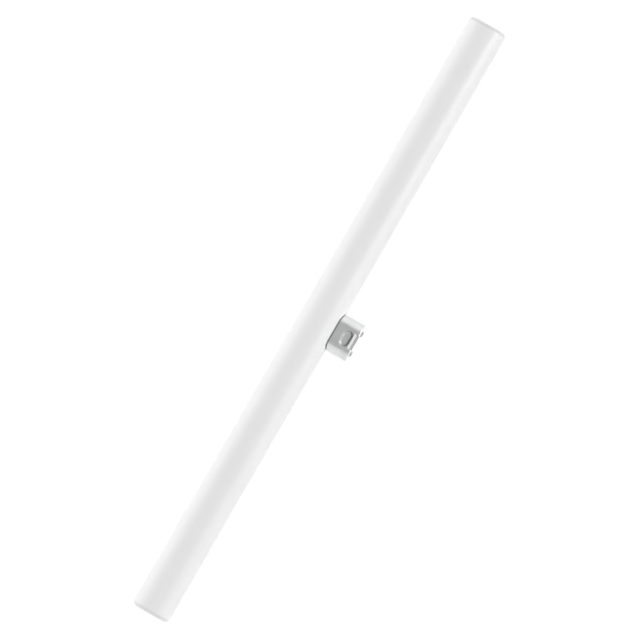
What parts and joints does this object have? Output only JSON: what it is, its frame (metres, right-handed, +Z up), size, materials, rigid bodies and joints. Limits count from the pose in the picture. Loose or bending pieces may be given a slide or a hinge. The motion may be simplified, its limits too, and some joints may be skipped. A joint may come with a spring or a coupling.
{
  "type": "tubular light bulb",
  "caption": "Straight opal tubular lamp with closed, rounded ends and a flat-sided metal cap with contact pads in the middle of its side.",
  "frame": {"origin": "bottom centre of the lying lamp's box, on the surface that it lies on", "axes": "+X along the tube, +Z up, and the cap points to -Y and dips 15.4 degrees"},
  "size_m": [0.5, 0.0482, 0.03],
  "materials": {
    "opal_tube": "satin opal",
    "cap_metal": "satin nickel plated",
    "insulator": "matt unglazed",
    "contact_metal": "nickel plated",
    "solder": "dull tin",
    "lead_wire": "drawn copper"
  },
  "bodies": {
    "root": {"diffuser_tube": "opal_tube", "cap_shell": "cap_metal", "cap_insulator": "insulator", "contact_left": "contact_metal", "contact_right": "contact_metal", "solder_left": "solder", "solder_right": "solder", "lead_wire_left": "lead_wire", "lead_wire_right": "lead_wire"}
  },
  "joints": []
}
